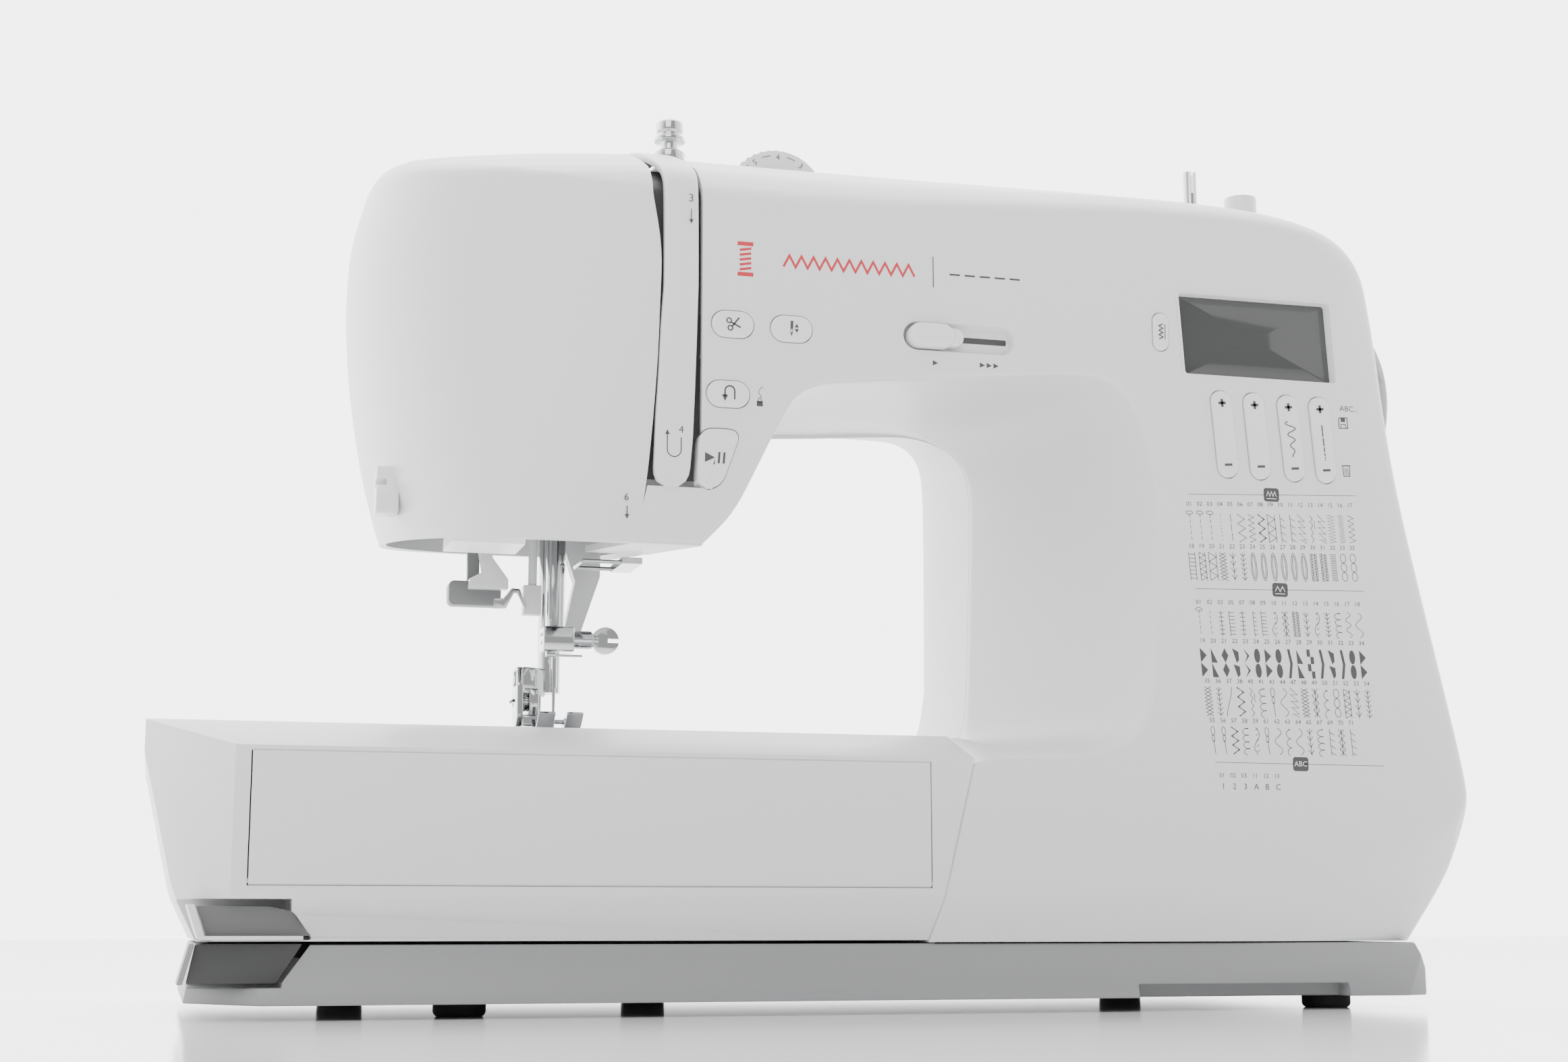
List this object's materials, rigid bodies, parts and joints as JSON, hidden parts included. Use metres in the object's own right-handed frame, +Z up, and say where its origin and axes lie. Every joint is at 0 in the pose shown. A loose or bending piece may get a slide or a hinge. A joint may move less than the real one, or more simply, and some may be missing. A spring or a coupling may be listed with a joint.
{
  "type": "sewing machine",
  "caption": "Free-arm sewing machine with extension table, keys, display, handwheel, needle and presser foot mechanism on a grey base.",
  "frame": {"origin": "on the surface that the rubber feet stand on, at the centre of the machine's length and depth", "axes": "+X along the arm towards the handwheel, +Y towards the rear, -Y towards the user, +Z up"},
  "size_m": [0.44, 0.197, 0.306],
  "materials": {
    "shell_white": "satin moulded ABS, very fine spark texture",
    "base_grey": "satin mid-grey moulded ABS",
    "button_white": "smooth satin plastic with printed symbols",
    "chrome": "polished plating",
    "steel": "ground steel",
    "frame_alloy": "die-cast, matt",
    "rubber": "matt moulded rubber",
    "dark_plastic": "matt moulded plastic",
    "lever_grey": "satin plastic",
    "display": "clear window over a dark display",
    "board": "circuit board",
    "clear_plastic": "clear smoky plastic",
    "lamp": "frosted diffuser"
  },
  "bodies": {
    "machine": {"base_plinth": "base_grey", "rubber_feet": "rubber", "front_cover": "shell_white", "rear_cover": "shell_white", "face_cover": "shell_white", "thread_channel_cover": "shell_white", "free_arm_cover": "shell_white", "needle_plate": "steel", "casing_screws": "steel", "chassis_frame": "frame_alloy", "drive_belt": "rubber", "motor": "dark_plastic", "bobbin_case": "dark_plastic", "needle_thread_guide": "chrome", "thread_cutter": "button_white", "led_lamp": "lamp", "pretension_guide": "chrome", "winder_stop": "button_white", "spool_pin": "dark_plastic", "lcd_window": "display", "control_board": "board", "power_inlet": "dark_plastic"},
    "drive": {"main_shaft": "steel", "handwheel": "base_grey"},
    "motor_rotor": {"motor_pulley": "steel"},
    "lower_drive": {"lower_shaft": "steel"},
    "hook": {"rotary_hook": "steel"},
    "bobbin": {"bobbin": "clear_plastic"},
    "feed": {"feed_dog": "steel"},
    "drop_lever": {"drop_feed_lever": "base_grey"},
    "needle_unit": {"needle_bar": "chrome", "needle_clamp": "chrome", "needle": "chrome"},
    "clamp_screw": {"needle_clamp_screw": "chrome"},
    "presser_unit": {"presser_bar": "chrome", "presser_ankle": "chrome", "ankle_screw": "chrome"},
    "foot": {"presser_foot": "chrome"},
    "lifter": {"presser_lifter": "shell_white"},
    "buttonhole": {"buttonhole_lever": "lever_grey"},
    "threader": {"needle_threader": "button_white"},
    "take_up": {"take_up_lever": "chrome"},
    "dial": {"tension_dial": "button_white"},
    "winder": {"winder_spindle": "chrome"},
    "cap": {"spool_cap": "dark_plastic"},
    "handle": {"carry_handle": "shell_white"},
    "table": {"extension_table": "shell_white"},
    "lid": {"storage_lid": "shell_white"},
    "bobbin_lid": {"bobbin_cover": "clear_plastic"},
    "cut_key": {"thread_cut_button": "button_white"},
    "needle_key": {"needle_position_button": "button_white"},
    "reverse_key": {"reverse_button": "button_white"},
    "start_key": {"start_stop_button": "button_white"},
    "mode_key": {"mode_button": "button_white"},
    "tens_key": {"tens_rocker": "button_white"},
    "units_key": {"units_rocker": "button_white"},
    "width_key": {"width_rocker": "button_white"},
    "length_key": {"length_rocker": "button_white"},
    "speed_knob": {"speed_slider": "button_white"},
    "power_key": {"power_switch": "dark_plastic"}
  },
  "joints": [
    {"name": "handwheel_spin", "type": "hinge", "parent": "machine", "child": "drive", "pos_m": [0.2, 0, 0.22], "axis": [1, 0, 0], "continuous": true},
    {"name": "motor_spin", "type": "hinge", "parent": "machine", "child": "motor_rotor", "pos_m": [0.175, 0.022, 0.036], "axis": [1, 0, 0], "continuous": true},
    {"name": "lower_shaft_spin", "type": "hinge", "parent": "machine", "child": "lower_drive", "pos_m": [0, 0.004, 0.059], "axis": [1, 0, 0], "continuous": true},
    {"name": "hook_spin", "type": "hinge", "parent": "machine", "child": "hook", "pos_m": [-0.0865, -0.017, 0.07], "axis": [0, 0, 1], "continuous": true},
    {"name": "bobbin_spin", "type": "hinge", "parent": "machine", "child": "bobbin", "pos_m": [-0.0865, -0.017, 0.075], "axis": [0, 0, 1], "continuous": true},
    {"name": "feed_drop", "type": "slide", "parent": "machine", "child": "feed", "axis": [0, 0, -1], "range_m": [0, 0.002]},
    {"name": "drop_lever_slide", "type": "slide", "parent": "machine", "child": "drop_lever", "axis": [1, 0, 0], "range_m": [0, 0.008]},
    {"name": "needle_bar_slide", "type": "slide", "parent": "machine", "child": "needle_unit", "axis": [0, 0, 1], "range_m": [-0.013, 0.017]},
    {"name": "clamp_screw_turn", "type": "hinge", "parent": "needle_unit", "child": "clamp_screw", "pos_m": [-0.0865, 0, 0.1236], "axis": [1, 0, 0], "range_deg": [0, 540]},
    {"name": "presser_lift", "type": "slide", "parent": "machine", "child": "presser_unit", "axis": [0, 0, 1], "range_m": [0, 0.006]},
    {"name": "foot_rock", "type": "hinge", "parent": "presser_unit", "child": "foot", "pos_m": [-0.0865, 0.005, 0.0955], "axis": [1, 0, 0], "range_deg": [-6, 5]},
    {"name": "lifter_swing", "type": "hinge", "parent": "machine", "child": "lifter", "pos_m": [-0.0805, 0.029, 0.182], "axis": [0, -1, 0], "range_deg": [0, 40]},
    {"name": "buttonhole_slide", "type": "slide", "parent": "machine", "child": "buttonhole", "axis": [0, 0, -1], "range_m": [0, 0.03]},
    {"name": "threader_slide", "type": "slide", "parent": "machine", "child": "threader", "axis": [0, 0, -1], "range_m": [0, 0.025]},
    {"name": "take_up_swing", "type": "hinge", "parent": "machine", "child": "take_up", "pos_m": [-0.07, -0.045, 0.205], "axis": [1, 0, 0], "range_deg": [-29, 4]},
    {"name": "tension_turn", "type": "hinge", "parent": "machine", "child": "dial", "pos_m": [-0.0135, -0.02, 0.2804], "axis": [0, 1, 0], "range_deg": [-150, 150]},
    {"name": "winder_spin", "type": "hinge", "parent": "machine", "child": "winder", "pos_m": [0.148, -0.02, 0.29], "axis": [0, 0, 1], "continuous": true},
    {"name": "cap_slide", "type": "slide", "parent": "machine", "child": "cap", "axis": [-1, 0, 0], "range_m": [-0.045, 0.012]},
    {"name": "handle_fold", "type": "hinge", "parent": "machine", "child": "handle", "pos_m": [0.022, 0.067, 0.268], "axis": [1, 0, 0], "range_deg": [0, 175]},
    {"name": "table_slide", "type": "slide", "parent": "machine", "child": "table", "axis": [-1, 0, 0], "range_m": [0, 0.19]},
    {"name": "lid_fold", "type": "hinge", "parent": "table", "child": "lid", "pos_m": [-0.0865, -0.0937, 0.0396], "axis": [1, 0, 0], "range_deg": [0, 85]},
    {"name": "bobbin_cover_slide", "type": "slide", "parent": "machine", "child": "bobbin_lid", "axis": [0, -1, 0], "range_m": [0, 0.028]},
    {"name": "cut_key_press", "type": "slide", "parent": "machine", "child": "cut_key", "axis": [0, 1, 0], "range_m": [0, 0.0012], "stiffness_N_per_m": 400},
    {"name": "needle_key_press", "type": "slide", "parent": "machine", "child": "needle_key", "axis": [0, 1, 0], "range_m": [0, 0.0012], "stiffness_N_per_m": 400},
    {"name": "reverse_key_press", "type": "slide", "parent": "machine", "child": "reverse_key", "axis": [0, 1, 0], "range_m": [0, 0.0012], "stiffness_N_per_m": 400},
    {"name": "start_key_press", "type": "slide", "parent": "machine", "child": "start_key", "axis": [0, 1, 0], "range_m": [0, 0.0012], "stiffness_N_per_m": 400},
    {"name": "mode_key_press", "type": "slide", "parent": "machine", "child": "mode_key", "axis": [0, 1, 0], "range_m": [0, 0.0012], "stiffness_N_per_m": 400},
    {"name": "tens_key_tilt", "type": "hinge", "parent": "machine", "child": "tens_key", "pos_m": [0.121, -0.09, 0.1878], "axis": [0.9969, 0, 0.0785], "range_deg": [-3, 3], "stiffness_Nm_per_rad": 0.1},
    {"name": "units_key_tilt", "type": "hinge", "parent": "machine", "child": "units_key", "pos_m": [0.1329, -0.09, 0.1878], "axis": [0.9969, 0, 0.0785], "range_deg": [-3, 3], "stiffness_Nm_per_rad": 0.1},
    {"name": "width_key_tilt", "type": "hinge", "parent": "machine", "child": "width_key", "pos_m": [0.1454, -0.09, 0.1878], "axis": [0.9969, 0, 0.0785], "range_deg": [-3, 3], "stiffness_Nm_per_rad": 0.1},
    {"name": "length_key_tilt", "type": "hinge", "parent": "machine", "child": "length_key", "pos_m": [0.1571, -0.09, 0.1878], "axis": [0.9969, 0, 0.0785], "range_deg": [-3, 3], "stiffness_Nm_per_rad": 0.1},
    {"name": "speed_slide", "type": "slide", "parent": "machine", "child": "speed_knob", "axis": [1, 0, 0], "range_m": [0, 0.017]},
    {"name": "power_tilt", "type": "hinge", "parent": "machine", "child": "power_key", "pos_m": [0.2, 0.022, 0.054], "axis": [0, 1, 0], "range_deg": [0, 8]}
  ],
  "couplings": [
    {"joint": "motor_spin", "follows": "handwheel_spin", "ratio": 1.5},
    {"joint": "lower_shaft_spin", "follows": "handwheel_spin", "ratio": 1},
    {"joint": "hook_spin", "follows": "handwheel_spin", "ratio": 2},
    {"joint": "lifter_swing", "follows": "presser_lift", "rad_per_m": 116.3},
    {"joint": "feed_drop", "follows": "drop_lever_slide", "ratio": 0.25}
  ]
}
